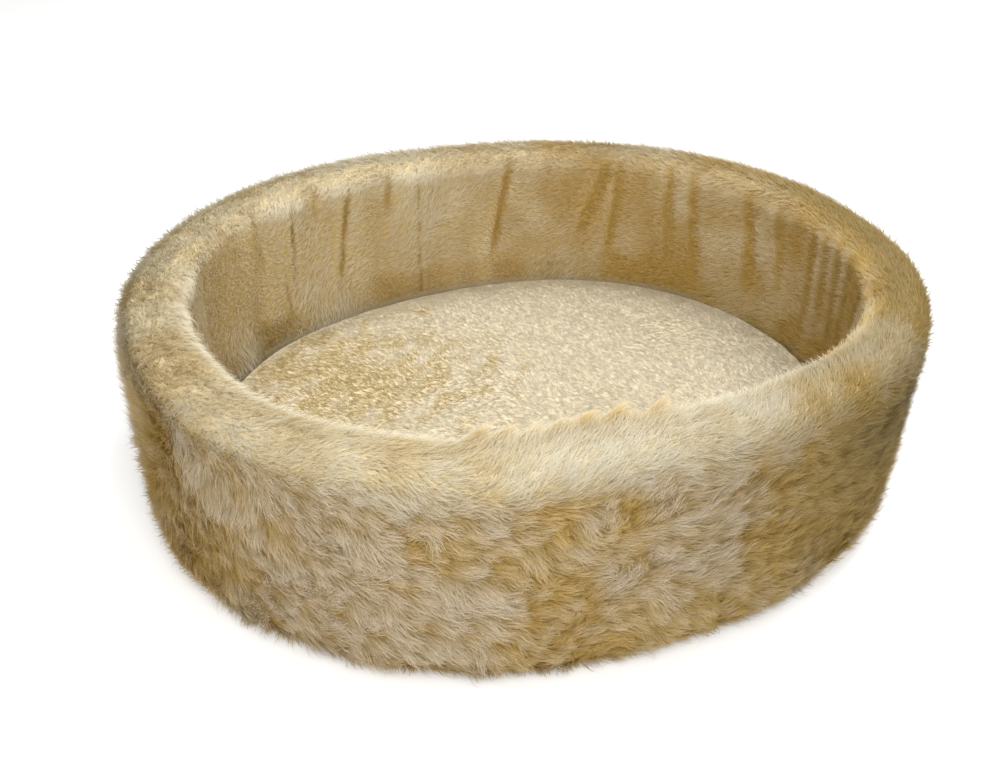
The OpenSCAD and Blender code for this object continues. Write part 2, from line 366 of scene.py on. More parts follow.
def polygon_mesh(name, points, loops, starts):
    mesh = bpy.data.meshes.new(name)
    mesh.vertices.add(len(points))
    mesh.vertices.foreach_set("co", np.asarray(points, np.float32).ravel())
    mesh.loops.add(loops.size)
    mesh.loops.foreach_set("vertex_index", loops.astype(np.int32).ravel())
    mesh.polygons.add(starts.size)
    mesh.polygons.foreach_set("loop_start", starts.astype(np.int32).ravel())
    mesh.polygons.foreach_set("use_smooth", np.ones(starts.size, bool))
    mesh.update(calc_edges=True)
    return mesh


def ring_mesh(name, points):
    """A closed ring of quads through points[round, across]."""
    rounds, across = points.shape[:2]
    r, c = np.meshgrid(np.arange(rounds), np.arange(across - 1), indexing="ij")
    after = (r + 1) % rounds
    quads = np.stack([r * across + c, after * across + c, after * across + c + 1, r * across + c + 1], -1)
    quads = quads.reshape(-1, 4)
    return polygon_mesh(name, points.reshape(-1, 3), quads, np.arange(0, quads.size, 4))


def strand_mesh(name, path, side, shading, width, tones):
    """Tapering strands: path, side and shading are (strands, points, 3), tones is (strands, 3)."""
    count, steps = path.shape[:2]
    pairs = steps - 1
    corner_count = 2 * pairs + 1
    # A strand has two corners at each of its points but the last, which is its tip.
    taper = np.linspace(1.0, 0.7, pairs)[None, :, None]
    half = 0.5 * width[:, None, None] * taper * side[:, :pairs]
    points = np.empty((count, corner_count, 3), np.float32)
    points[:, 0:-1:2] = path[:, :pairs] - half
    points[:, 1:-1:2] = path[:, :pairs] + half
    points[:, -1] = path[:, -1]
    corners, starts = [], []
    for k in range(0, 2 * pairs - 2, 2):
        starts.append(len(corners))
        corners += [k, k + 1, k + 3, k + 2]
    starts.append(len(corners))
    corners = np.array(corners + [2 * pairs - 2, 2 * pairs - 1, 2 * pairs])
    strand = np.arange(count)[:, None]
    first = (strand * corners.size + np.array(starts)).ravel()
    mesh = polygon_mesh(name, points.reshape(-1, 3), strand * corner_count + corners, first)

    along = np.append(np.repeat(np.linspace(0, 1, steps)[:-1], 2), 1)
    fur = np.empty((count, corner_count, 4), np.float32)
    fur[:, :, 0] = along
    fur[:, :, 1:] = tones[:, None]
    mesh.color_attributes.new("fur", "FLOAT_COLOR", "POINT").data.foreach_set("color", fur.ravel())
    normals = np.concatenate([np.repeat(shading[:, :pairs], 2, axis=1), shading[:, -1:]], 1)
    normals = normals.astype(np.float32).ravel()
    mesh.attributes.new("custom_normal", "FLOAT_VECTOR", "POINT").data.foreach_set("vector", normals)

    # Each strand has its own small cell of the baked map.
    cells = math.ceil(math.sqrt(count))
    origin = np.stack([np.arange(count) % cells, np.arange(count) // cells], -1)
    across = np.append(np.tile([0.25, 0.75], pairs), 0.5)
    uv = (origin[:, None] + np.stack([across, 0.08 + 0.84 * along], -1)) / cells
    uv = uv[:, corners].astype(np.float32).ravel()
    mesh.uv_layers.new(name="OFBake").data.foreach_set("uv", uv)
    return mesh


# ---------------------------------------------------------------- pile

def locks(a, b, size, seed):
    """Which lock each place belongs to, on a jittered grid: the lock's middle and numbers of its own."""
    ia, ib = np.floor(a / size), np.floor(b / size)
    best = np.full(a.shape, np.inf)
    ca, cb, ja, jb = a.copy(), b.copy(), ia.copy(), ib.copy()
    zero = np.zeros_like(ia)
    for da in (-1, 0, 1):
        for db in (-1, 0, 1):
            cell = np.stack([ia + da, ib + db, zero], -1)
            pa = (cell[..., 0] + 0.5 + 0.42 * lattice(cell, seed)) * size
            pb = (cell[..., 1] + 0.5 + 0.42 * lattice(cell, seed + 1)) * size
            d = (pa - a) ** 2 + (pb - b) ** 2
            near = d < best
            best = np.where(near, d, best)
            ca, cb = np.where(near, pa, ca), np.where(near, pb, cb)
            ja, jb = np.where(near, cell[..., 0], ja), np.where(near, cell[..., 1], jb)
    cell = np.stack([ja, jb, zero], -1)
    return ca, cb, [lattice(cell, seed + i) for i in (2, 3, 4)]


def grow(surface, a, b, pile, rng, segments):
    """Lays a strand from each place (a, b) of a surface, bending over and drawn together into locks."""
    count = len(a)
    stretch = surface(a, b)[2]
    path = np.empty((count, segments + 1, 3))
    normals = np.empty((count, segments + 1, 3))
    pa, pb, ph = a.copy(), b.copy(), np.zeros(count)
    part = pile["length"] / segments
    wave = rng.random(count) * 2 * math.pi
    for k in range(segments + 1):
        path[:, k], normals[:, k] = surface(pa, pb, ph)[:2]
        if k == segments:
            break
        far = (k + 0.5) / segments
        rise = pile["lift"] * (1.2 - 0.9 * far)
        heading = pile["turn"] + pile["curl"] * (far - 0.3) + 0.10 * np.sin(wave + 4.0 * far)
        pa = pa + part * np.cos(rise) * np.cos(heading) / stretch
        pb = pb + part * np.cos(rise) * np.sin(heading)
        ph = ph + part * np.sin(rise)
        run = (k + 1) * part * np.cos(rise)
        ahead_a, ahead_b = run * np.cos(pile["turn"]) / stretch, run * np.sin(pile["turn"])
        for (ca, cb), draw in pile["gather"]:
            pa = pa + draw * far * (ca + ahead_a - pa)
            pb = pb + draw * far * (cb + ahead_b - pb)
    return path, normals


def add_fur(name, path, normals, rng, width, tones, relief, material, body):
    """Turns strand paths into pieces, each small enough to be kept whole."""
    count, steps = path.shape[:2]
    forward = unit(np.diff(path, axis=1))
    side = unit(np.cross(forward, normals[:, :-1]))
    roll = rng.normal(0, 0.35, count)[:, None, None]
    side = unit(side * np.cos(roll) + normals[:, :-1] * np.sin(roll))
    face = unit(np.cross(side, forward))
    shading = unit(normals + relief * np.concatenate([face, face[:, -1:]], 1))
    shade, gold, rosy = tones
    shade = shade * (1 + rng.normal(0, TONE_JITTER * relief, count))
    tones = np.clip(np.stack([shade, gold, rosy], -1), 0, 1)
    widths = width * (0.75 + 0.5 * rng.random(count))
    parts = math.ceil(count * (2 * steps - 3) / STL_TRIANGLES)
    for i, rows in enumerate(np.array_split(np.arange(count), parts)):
        piece_name = f"{name}_{i + 1}"
        mesh = strand_mesh(piece_name, path[rows], side[rows], shading[rows], widths[rows], tones[rows])
        mesh.materials.append(material)
        piece = shown(piece_name, mesh)
        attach(piece, body)


# How the outside is combed: place round the oval and up the section, reach, direction in degrees from
# along the oval towards the rim, how golden the pile is there and how upright.
COMBING = [
    (0.985, 0.150, 0.050, 125, 0.45, 0.8),
    (1.042, 0.095, 0.045, -20, 0.90, 0.6),
    (1.095, 0.178, 0.040, -45, 0.10, 0.4),
    (1.145, 0.145, 0.038, -60, 0.35, 0.7),
    (1.105, 0.060, 0.040, -15, 0.60, 0.5),
    (1.190, 0.195, 0.040, -30, 0.00, 0.4),
    (1.190, 0.080, 0.055, -6, 0.05, 0.2),
    (1.225, 0.150, 0.030, -50, 0.30, 0.6),
    (1.262, 0.100, 0.045, -8, 0.00, 0.2),
    (1.283, 0.151, 0.026, -20, 1.00, 0.5),
    (1.300, 0.195, 0.045, -20, 0.00, 0.5),
    (1.310, 0.078, 0.045, -4, 0.00, 0.2),
    (1.330, 0.140, 0.026, -15, 1.00, 0.5),
    (1.345, 0.052, 0.024, -30, 0.90, 0.5),
    (1.369, 0.102, 0.022, 30, 0.85, 0.6),
    (1.372, 0.160, 0.028, -70, 0.55, 0.6),
    (1.411, 0.111, 0.026, 75, 0.10, 0.6),
    (1.417, 0.150, 0.024, 50, 0.70, 0.5),
    (1.440, 0.060, 0.035, -30, 0.50, 0.5),
    (1.462, 0.140, 0.036, 48, 0.10, 0.3),
    (1.476, 0.105, 0.036, 32, 0.10, 0.3),
    (1.505, 0.050, 0.035, -10, 0.50, 0.4),
    (1.530, 0.160, 0.034, 35, 0.50, 0.4),
    (1.556, 0.100, 0.032, 30, 1.00, 0.5),
    (1.590, 0.070, 0.024, 52, 0.35, 0.3),
    (1.600, 0.150, 0.036, 30, 0.60, 0.5),
    (1.640, 0.110, 0.045, 25, 0.85, 0.5),
    (1.690, 0.150, 0.050, 40, 0.60, 0.8),
]
# How much of the pile's lie is random, and how the combed places' edges wave.
WILD_SHARE = 0.30
COMB_WAVE = 0.010
COMB_WAVE_SIZE = 0.032
# Sizes of the pile, its locks and its clumps, how strongly each draws its strands together, and the
# shares of strands that stray or hang over the foot.
PILE_LENGTH = 0.018
LOCK_SIZE = 0.004
CLUMP_SIZE = 0.014
CLUMP_BLUR = 0.0015
LOCK_PULL = 0.06
CLUMP_PULL = 0.27
STRAY_SHARE = 0.09
HEM_SHARE = 0.35
WALL_STRAND = 0.00046
LOWEST_STRAND = 0.0006
TUFT_PULL = 0.9
OUTER_STRANDS = 350000
INNER_STRANDS = 190000
PILE_START = 0.004
PILE_END = 0.002
PILE_SPLIT = 0.030
PILE_OVERLAP = 0.006
WALL_SEED = 7

# Pointed tufts on the rim: place round the oval and past the top of the rim, and reach.
TUFTS = [
    (1.306, 0.021, 0.010),
    (1.328, 0.022, 0.012),
    (1.350, 0.024, 0.010),
    (1.370, 0.021, 0.012),
    (1.390, 0.023, 0.012),
    (1.416, 0.022, 0.014),
    (1.452, 0.022, 0.010),
]


def lie(angle, gold, lift):
    """A way for the pile to lie, in a form that can be averaged."""
    return np.stack(np.broadcast_arrays(np.cos(angle), np.sin(angle), gold, lift), -1)


def towards(s, place):
    """1 at a place on the oval, falling to 0 opposite it."""
    return 0.5 + 0.5 * np.cos((s - place) / PERIMETER * 2 * math.pi)


def wild_lie(p):
    """The pile's own random way to lie, between the combed places."""
    angle = 0.2 + 1.7 * layered(p, 0.10, 31)
    gold = step(layered(p, 0.06, 36), -0.5, 0.7)
    return lie(angle, gold, 0.45 + 0.3 * noise(p, 0.05, 33))


def outer_lie(s, v, p):
    """How the pile lies outside: as the combed places near it, more golden towards the right end, partly as
    painted shade.
    """
    right, far_right = towards(s, 1.85) ** 2, towards(s, 1.79) ** 11
    near_s = s + COMB_WAVE * layered(p, COMB_WAVE_SIZE, 51)
    near_v = v + COMB_WAVE * layered(p, COMB_WAVE_SIZE, 52)
    total, share = WILD_SHARE * wild_lie(p), np.full(s.shape, WILD_SHARE)
    for place, up, reach, angle, gold, lift in COMBING:
        w = bump(np.hypot(around(near_s, place), near_v - up), reach)
        share += w
        total += w[:, None] * lie(math.radians(angle), gold, lift)
    total = total / share[:, None]
    # The right end's gold is partly the pile's own tone and partly painted shade.
    total[:, 2] = 0.72 * step(total[:, 2], 0.18, 0.66) + 0.20 * right + 0.80 * far_right
    return total


def rim_lie(s, p):
    """How the pile lies on the rim: along it, with golden patches and a golden right end, which is partly
    painted shade.
    """
    right, right_inside = towards(s, 1.88) ** 4, towards(s, 2.05) ** 2
    by_seam = bump(around(s, 0.88), 0.22)
    # The right end's gold is partly painted shade.
    gold = 0.06 + 0.85 * right + 0.42 * right_inside + 0.10 * by_seam + 0.42 * layered(p, 0.045, 54)
    return lie(0.25 + 0.9 * noise(p, 0.07, 53), gold, 0.40)


def inner_lie(s, v, p, inside, ridge):
    """How the pile lies inside the wall: golden in creases and hollows, pale on lips and swells, as painted
    shade and painted highlight on the folds.
    """
    right_inside = towards(s, 2.05) ** 2
    high = folds(np.stack([*oval(s)[:2], 0.3 * WALL.read(v)[1]], -1))
    angle = 0.10 + 0.6 * layered(p, 0.06, 61) + 0.6 * high - 0.5 * ridge - 0.5 * inside
    gold = 0.84 * right_inside - 0.19 + 0.28 * layered(p, 0.030, 62)
    # Painted shade: more golden in creases and hollows; painted highlight: paler on lips and swells.
    gold = gold - 0.36 * high + 1.2 * inside - 0.12 * ridge
    return lie(angle, gold, 0.42 + 0.30 * ridge - 0.15 * inside)


def wall_pile(s, v):
    """Direction, uprightness and tones of the pile all over the wall, with how far it is rim and inside."""
    p = wall_point(s, v)[0]
    rim = step(v, V_RIM - 0.058, V_RIM - 0.020)
    inner = step(v, V_RIM + 0.004, V_RIM + 0.035)
    _, inside, ridge = creased(s, v)
    rim_share, inner_share = rim[:, None], inner[:, None]
    over = (1 - inner_share) * rim_lie(s, p) + inner_share * inner_lie(s, v, p, inside, ridge)
    total = (1 - rim_share) * outer_lie(s, v, p) + rim_share * over
    return np.arctan2(total[:, 1], total[:, 0]), total[:, 2], total[:, 3], rim, inner, inside


def painted_wall_shade(s, v, rim, inner, inside):
    """How bright the pile is, with painted shade: less at the right end, most just under the rim, and in
    creases; the rim is also less bright beside the seam.
    """
    painted_shade_under_rim = 0.45 + 0.55 * bump(v - V_RIM + 0.070, 0.050)
    # Painted shade: the outside's right end is darker, most just under the rim.
    outer_painted_shade = 0.91 - 0.06 * towards(s, 1.70) ** 4 - 0.50 * painted_shade_under_rim * towards(s, 1.76) ** 12
    # Painted shade: the rim's right end is darker too.
    rim_painted_shade = 0.80 - 0.27 * towards(s, 1.85) ** 4 - 0.10 * bump(around(s, 0.90), 0.16)
    # Painted shade in the creases inside.
    over = (1 - inner) * rim_painted_shade + inner * (1 - 0.14 * inside)
    return (1 - rim) * outer_painted_shade + rim * over


def tufted(s, v):
    """How far each place belongs to a tuft, and each tuft's middle and pull."""
    tuft, pulls = np.zeros(len(s)), []
    for place, up, reach in TUFTS:
        w = bump(np.hypot(around(s, place), v - V_RIM - up), reach)
        tuft = np.maximum(tuft, w)
        pulls.append(((s - around(s, place), np.full(len(s), V_RIM + up)), TUFT_PULL * w))
    return tuft, pulls


def wall_fur(name, rng, count, v_low, v_high, segments, material):
    """Grows the wall's pile between two levels of its section, in small locks within clumps."""
    s = np.sort(rng.random(count)) * PERIMETER
    v = v_low + rng.random(count) * (v_high - v_low)
    lock_s, lock_v, lock = locks(s, v, LOCK_SIZE, 41)
    near_s, near_v = s + rng.normal(0, CLUMP_BLUR, count), v + rng.normal(0, CLUMP_BLUR, count)
    clump_s, clump_v, clump = locks(near_s, near_v, CLUMP_SIZE, 71)
    turn, gold, lift, rim, inner, inside = wall_pile(0.75 * s + 0.25 * clump_s, 0.75 * v + 0.25 * clump_v)
    loose = (1 - inner) * (1 - 0.8 * rim)
    border = step(np.hypot(s - clump_s, v - clump_v), 0.003, 0.009)
    foot = step(v, WALL.length - 0.060, WALL.length - 0.040) * inner
    edge = bump(v - V_RIM - 0.024, 0.010)
    tuft, pulls = tufted(s, v)

    # Clump borders are more golden: painted shade between the clumps.
    gold = gold + loose * (0.24 * clump[2] + 0.42 * (border - 0.4)) + 0.04 * lock[2] + 0.25 * foot
    gold = gold + rng.normal(0, 0.04, count)
    stray = rng.random(count) < STRAY_SHARE
    hem = bump(v - 0.016, 0.012) * (rng.random(count) < HEM_SHARE)
    lift = 0.18 + 0.85 * lift + loose * (0.18 * clump[1] + 0.05 * lock[1]) + 0.55 * foot
    lift = lift + 0.4 * hem + edge * (0.25 + 0.25 * clump[1]) + 1.1 * tuft
    length = PILE_LENGTH - 0.0030 * gold * (1 - rim) - 0.0040 * rim - 0.0030 * inner - 0.003 * inside
    length = length * (1 - 0.15 * border * loose + 0.2 * foot) * (1 - 0.35 * bump(v - 0.004, 0.020))
    length = length * (1 + 0.7 * tuft)
    swirl = layered(wall_point(0.5 * (s + clump_s), 0.5 * (v + clump_v))[0], 0.024, 35)
    turn = turn + loose * (0.35 * clump[0] + 0.95 * swirl) + 0.12 * lock[0]
    pile = {
        "turn": turn + rng.normal(0, 0.24, count),
        "lift": np.clip(lift + rng.normal(0, 0.14, count) + 0.45 * stray, 0.06, 1.35),
        "length": length * (0.70 + 0.50 * rng.random(count) + 0.20 * stray),
        "curl": loose * (0.9 * clump[1] + 0.2 * lock[1]) + rng.normal(0, 0.25, count),
        "gather": [((lock_s, lock_v), LOCK_PULL), ((clump_s, clump_v), CLUMP_PULL * loose), *pulls],
    }
    path, normals = grow(wall_point, s, v, pile, rng, segments)
    facing_out = wall_point(s, np.full(count, V_RIM - 0.02))[1][:, None]
    normals = unit(normals + 1.5 * np.maximum(tuft, 0.4 * edge)[:, None, None] * facing_out)
    path[:, :, 2] = np.clip(path[:, :, 2], LOWEST_STRAND, HIGHEST_STRAND)
    # Painted shade: darker at the clump borders, between the clumps.
    shade = painted_wall_shade(s, v, rim, inner, inside) * (1 - 0.14 * border * loose)
    # Tufts are golden, partly the pile's own tone and partly painted shade on their sides. The outside's
    # share of the rosy tone carries painted shade and sheen.
    tones = (shade, gold + 0.5 * tuft, np.clip(1 - rim, 0, 1))
    add_fur(name, path, normals, rng, WALL_STRAND, tones, WALL_RELIEF, material, "root")


# ---------------------------------------------------------------- cushion

# The cushion's flat case, how cloth pressure fills it, and the grid its heights are read on.
CASE_ROUNDS = 360
CASE_FOOT = 0.010
CASE_TOP = 0.008
HELD_HEIGHT = 0.014
PRESSURE = 4.0
MOMENTS = 20
SIDEWAYS_SHARE = 0.3
OPEN_BELOW = 0.004
LOWEST_CLOTH = 0.0002
HEIGHTS_STEP = 0.0035
HEIGHTS_BLUR = 4
BESIDE_DROP = 0.02
RAY_START = 0.2
# The pile on the cushion's top and on its side.
CUSHION_STRANDS = 210000
CUSHION_STRAND = 0.00045
CUSHION_LENGTH = 0.0050
CUSHION_LOCK = 0.0022
CUSHION_LOCK_PULL = 0.02
CUSHION_SHADE = 0.765
CUSHION_ROSY = 0.25
SIDE_STRANDS = 26000
SIDE_STRAND = 0.0007
SIDE_LENGTH = 0.0085
SIDE_SHADE = 0.82
SIDE_GOLD = 0.50
SIDE_END = 0.037
CUSHION_SEED = 11


class Heights:
    """Heights of the cushion's top on a grid, read from its mesh."""

    def __init__(self, mesh_object):
        high = np.array([cushion_high.x, cushion_high.y]) + CUSHION_SPREAD
        self.low = -high
        counts = np.ceil(2 * high / HEIGHTS_STEP).astype(int) + 1
        graph = bpy.context.evaluated_depsgraph_get()
        tree = BVHTree.FromObject(mesh_object, graph)
        self.z = np.full(tuple(counts), cushion_high.z - BESIDE_DROP)
        for i, j in np.ndindex(*counts):
            at = self.low + HEIGHTS_STEP * np.array([i, j])
            hit = tree.ray_cast(Vector((at[0], at[1], RAY_START)), Vector((0, 0, -1)))[0]
            if hit is not None:
                self.z[i, j] = hit.z
        for _ in range(HEIGHTS_BLUR):
            padded = np.pad(self.z, 1, mode="edge")
            middle = padded[1:-1, 1:-1]
            beside_x = padded[:-2, 1:-1] + padded[2:, 1:-1]
            beside_y = padded[1:-1, :-2] + padded[1:-1, 2:]
            self.z = (2 * middle + beside_x + beside_y) / 6
        self.slope = np.gradient(self.z, HEIGHTS_STEP)

    def read(self, table, x, y):
        """A table of the grid's values, read between its points."""
        q = (np.stack([x, y], -1) - self.low) / HEIGHTS_STEP
        just_inside = np.array(table.shape) - 1.001
        q = np.clip(q, 0, just_inside)
        i = np.floor(q).astype(int)
        f = q - i
        i0, j0 = i[..., 0], i[..., 1]
        fx, fy = f[..., 0], f[..., 1]
        near = table[i0, j0] * (1 - fx) + table[i0 + 1, j0] * fx
        far = table[i0, j0 + 1] * (1 - fx) + table[i0 + 1, j0 + 1] * fx
        return near * (1 - fy) + far * fy

    def surface(self, x, y, h=0.0):
        """Point, outward normal and stretch on the cushion's top, h above it."""
        dx, dy = (self.read(table, x, y) for table in self.slope)
        normal = unit(np.stack([-dx, -dy, np.ones_like(dx)], -1))
        point = np.stack([x, y, self.read(self.z, x, y)], -1) + normal * np.asarray(h)[..., None]
        return point, normal, np.ones_like(x)


def cushion_edge_point(s, v, h=0.0):
    """Point, outward normal and stretch on the cushion's side, h above it."""
    oval_x, oval_y, out_x, out_y, radius = oval(s)
    u, z, nu, nz = CUSHION.read(v)
    h = h + CUSHION_SIDE_SWELL
    r = u + h * nu
    point = np.stack([oval_x + r * out_x, oval_y + r * out_y, z + h * nz], -1)
    return point, np.stack([out_x * nu, out_y * nu, nz], -1), 1 + u / radius


def applied(piece):
    """The piece's mesh with its modifiers applied, which are then removed."""
    graph = bpy.context.evaluated_depsgraph_get()
    graph.update()
    mesh = bpy.data.meshes.new_from_object(piece.evaluated_get(graph), depsgraph=graph)
    piece.modifiers.clear()
    return mesh


def vertex_places(mesh):
    places = np.empty(len(mesh.vertices) * 3, np.float32)
    mesh.vertices.foreach_get("co", places)
    return places.reshape(-1, 3)


def cushion_case():
    """The cushion's cover before it is filled: a flat closed case of even small faces."""
    s = np.arange(CASE_ROUNDS) * PERIMETER / CASE_ROUNDS
    oval_x, oval_y, out_x, out_y, _ = (a[:, None] for a in oval(s))
    u, z = CUSHION.points.T
    z = z - CUSHION_SWELL * step(z, cushion_low.z + CASE_FOOT, cushion_high.z - CASE_TOP)
    points = np.stack([oval_x + u * out_x, oval_y + u * out_y, z + 0 * oval_x], -1)
    mesh = ring_mesh("cushion_case", points)
    shape = bmesh.new()
    shape.from_mesh(mesh)
    bmesh.ops.holes_fill(shape, edges=[e for e in shape.edges if e.is_boundary])
    bmesh.ops.recalc_face_normals(shape, faces=shape.faces)
    shape.to_mesh(mesh)
    shape.free()
    case = shown("cushion_cloth", mesh)
    remesh = case.modifiers.new("remesh", "REMESH")
    remesh.mode = "VOXEL"
    remesh.voxel_size = CUSHION_VOXEL
    case.data = applied(case)
    return case


def filled(case):
    """Blows the case up as its filling does: cloth under pressure, held below, swelling by a little."""
    start = vertex_places(case.data)
    held = case.vertex_groups.new(name="held")
    low = np.flatnonzero(start[:, 2] < cushion_low.z + HELD_HEIGHT)
    held.add(low.tolist(), 1.0, "REPLACE")
    cloth = case.modifiers.new("cloth", "CLOTH")
    cloth.settings.use_pressure = True
    cloth.settings.uniform_pressure_force = PRESSURE
    cloth.settings.effector_weights.gravity = 0.0
    cloth.settings.vertex_group_mass = held.name
    scene = bpy.context.scene
    for moment in range(1, MOMENTS + 1):
        scene.frame_set(moment)
    moved = vertex_places(applied(case)) - start
    scene.frame_set(1)
    case.vertex_groups.clear()
    size = np.linalg.norm(moved, axis=1, keepdims=True)
    moved = moved * np.minimum(1, CUSHION_SWELL / np.maximum(size, 1e-9))
    moved = moved * np.array([SIDEWAYS_SHARE, SIDEWAYS_SHARE, 1.0])
    case.data.vertices.foreach_set("co", (start + moved).astype(np.float32).ravel())
    case.data.update()


def cushion_cloth(material):
    """The cushion's cover, filled, open below where its plain base cloth is sewn in."""
    case = cushion_case()
    filled(case)
    even = case.modifiers.new("even", "SMOOTH")
    even.factor = 0.5
    even.iterations = 10
    smoother = case.modifiers.new("smoother", "SUBSURF")
    smoother.levels = 1
    case.data = applied(case)
    shape = bmesh.new()
    shape.from_mesh(case.data)
    below = [f for f in shape.faces if f.calc_center_median().z < cushion_low.z + OPEN_BELOW]
    hole = [f for f in below if depth_inside(*f.calc_center_median().xy) > CUSHION_RIM + CUSHION_BAND]
    bmesh.ops.delete(shape, geom=hole, context="FACES")
    shape.to_mesh(case.data)
    shape.free()
    places = vertex_places(case.data)
    places[:, 2] = np.maximum(places[:, 2], cushion_low.z + LOWEST_CLOTH)
    case.data.vertices.foreach_set("co", places.ravel())
    case.data.polygons.foreach_set("use_smooth", np.ones(len(case.data.polygons), bool))
    case.data.materials.clear()
    case.data.materials.append(material)
    case.data.name = "cushion_cloth"
    return case


# ---------------------------------------------------------------- materials

def new_material(name):
    material = bpy.data.materials.new(name)
    material.use_nodes = True
    tree = material.node_tree
    tree.nodes.clear()
    out = tree.nodes.new("ShaderNodeOutputMaterial")
    shader = tree.nodes.new("ShaderNodeBsdfPrincipled")
    tree.links.new(shader.outputs[0], out.inputs[0])
    return material, tree, shader


def ramp_node(tree, source, stops):
    node = tree.nodes.new("ShaderNodeValToRGB")
    tree.links.new(source, node.inputs[0])
    ramp = node.color_ramp
    while len(ramp.elements) < len(stops):
        ramp.elements.new(0.5)
    for element, (at, colour) in zip(ramp.elements, stops):
        element.position = at
        element.color = (*colour, 1)
    return node.outputs[0]


def mix_node(tree, share, a, b, kind="MIX"):
    node = tree.nodes.new("ShaderNodeMix")
    node.data_type = "RGBA"
    node.blend_type = kind
    for value, socket in ((share, node.inputs[0]), (a, node.inputs[6]), (b, node.inputs[7])):
        if isinstance(value, bpy.types.NodeSocket):
            tree.links.new(value, socket)
        else:
            socket.default_value = value if isinstance(value, float) else (*value, 1)
    return node.outputs[2]


def fur_material(name, pale, rosy, golden):
    """Strands that let some light through, each tone given at the root, the middle and the tip."""
    material, tree, shader = new_material(name)
    attribute = tree.nodes.new("ShaderNodeVertexColor")
    attribute.layer_name = "fur"
    split = tree.nodes.new("ShaderNodeSeparateColor")
    tree.links.new(attribute.outputs[0], split.inputs[0])
    along, shade, gold = split.outputs
    colours = [ramp_node(tree, along, list(zip((0.0, 0.45, 0.95), tone))) for tone in (pale, rosy, golden)]
    base = mix_node(tree, attribute.outputs[1], colours[0], colours[1])
    base = mix_node(tree, gold, base, colours[2])
    # The strand's brightness darkens its colour: a random tone, and on the wall painted shade.
    strand = ramp_node(tree, shade, [(0.0, (0, 0, 0)), (1.0, (1, 1, 1))])
    base = mix_node(tree, 1.0, base, strand, "MULTIPLY")
    tree.links.new(base, shader.inputs["Base Color"])
    shader.inputs["Roughness"].default_value = 0.6
    shader.inputs["Specular IOR Level"].default_value = 0.35
    through = tree.nodes.new("ShaderNodeBsdfTranslucent")
    tree.links.new(base, through.inputs[0])
    both = tree.nodes.new("ShaderNodeMixShader")
    both.inputs[0].default_value = 0.45
    tree.links.new(shader.outputs[0], both.inputs[1])
    tree.links.new(through.outputs[0], both.inputs[2])
    tree.links.new(both.outputs[0], tree.nodes["Material Output"].inputs[0])
    return material


def wall_backing_material():
    """The cloth under the wall's pile, paler at the rim."""
    material, tree, shader = new_material("wall_backing")
    place = tree.nodes.new("ShaderNodeNewGeometry")
    split = tree.nodes.new("ShaderNodeSeparateXYZ")
    tree.links.new(place.outputs["Position"], split.inputs[0])
    stops = [(0.17, (0.45, 0.32, 0.11)), (0.20, (0.78, 0.68, 0.44))]
    tree.links.new(ramp_node(tree, split.outputs[2], stops), shader.inputs["Base Color"])
    shader.inputs["Roughness"].default_value = 0.9
    return material


def cushion_backing_material():
    material, _, shader = new_material("cushion_backing")
    shader.inputs["Base Color"].default_value = (0.72, 0.63, 0.45, 1)
    shader.inputs["Roughness"].default_value = 0.9
    return material


def object_place(tree, turn=0.0):
    coordinates = tree.nodes.new("ShaderNodeTexCoord")
    mapping = tree.nodes.new("ShaderNodeMapping")
    mapping.inputs["Rotation"].default_value = (0, 0, turn)
    tree.links.new(coordinates.outputs["Object"], mapping.inputs[0])
    return mapping.outputs[0]


def bumped(tree, shader, height, distance, strength=1.0):
    bump_node = tree.nodes.new("ShaderNodeBump")
    bump_node.inputs["Strength"].default_value = strength
    bump_node.inputs["Distance"].default_value = distance
    tree.links.new(height, bump_node.inputs["Height"])
    tree.links.new(bump_node.outputs[0], shader.inputs["Normal"])


# A wave texture of scale 1 has a ridge at each of these distances.
WAVE_LENGTH = 0.314


def bands(tree, place, pitch, direction):
    """Soft ridges across the given axis, one each pitch."""
    wave = tree.nodes.new("ShaderNodeTexWave")
    wave.bands_direction = direction
    wave.inputs["Scale"].default_value = WAVE_LENGTH / pitch
    tree.links.new(place, wave.inputs["Vector"])
    return wave.outputs["Fac"]


def blotches(tree, place, size):
    texture = tree.nodes.new("ShaderNodeTexNoise")
    texture.inputs["Scale"].default_value = 1 / size
    tree.links.new(place, texture.inputs["Vector"])
    return texture.outputs["Fac"]


def woven_material(name, dark, light, pitch):
    """Cloth of crossing threads."""
    material, tree, shader = new_material(name)
    place = object_place(tree)
    crossing = tree.nodes.new("ShaderNodeMath")
    crossing.operation = "MULTIPLY"
    tree.links.new(bands(tree, place, pitch, "X"), crossing.inputs[0])
    tree.links.new(bands(tree, place, pitch, "Y"), crossing.inputs[1])
    threads = ramp_node(tree, crossing.outputs[0], [(0.0, dark), (0.6, light)])
    worn = ramp_node(tree, blotches(tree, place, 0.03), [(0.3, (0.88, 0.88, 0.88)), (0.7, (1, 1, 1))])
    tree.links.new(mix_node(tree, 1.0, threads, worn, "MULTIPLY"), shader.inputs["Base Color"])
    shader.inputs["Roughness"].default_value = 0.85
    bumped(tree, shader, crossing.outputs[0], pitch / 3)
    return material


def foam_material():
    """Cut foam with open cells."""
    material, tree, shader = new_material("foam")
    place = object_place(tree)
    cells = tree.nodes.new("ShaderNodeTexVoronoi")
    cells.inputs["Scale"].default_value = 650
    tree.links.new(place, cells.inputs["Vector"])
    stops = [(0.15, (0.60, 0.50, 0.28)), (0.5, (0.86, 0.79, 0.58))]
    tree.links.new(ramp_node(tree, cells.outputs["Distance"], stops), shader.inputs["Base Color"])
    shader.inputs["Roughness"].default_value = 0.95
    bumped(tree, shader, cells.outputs["Distance"], 0.0006)
    return material


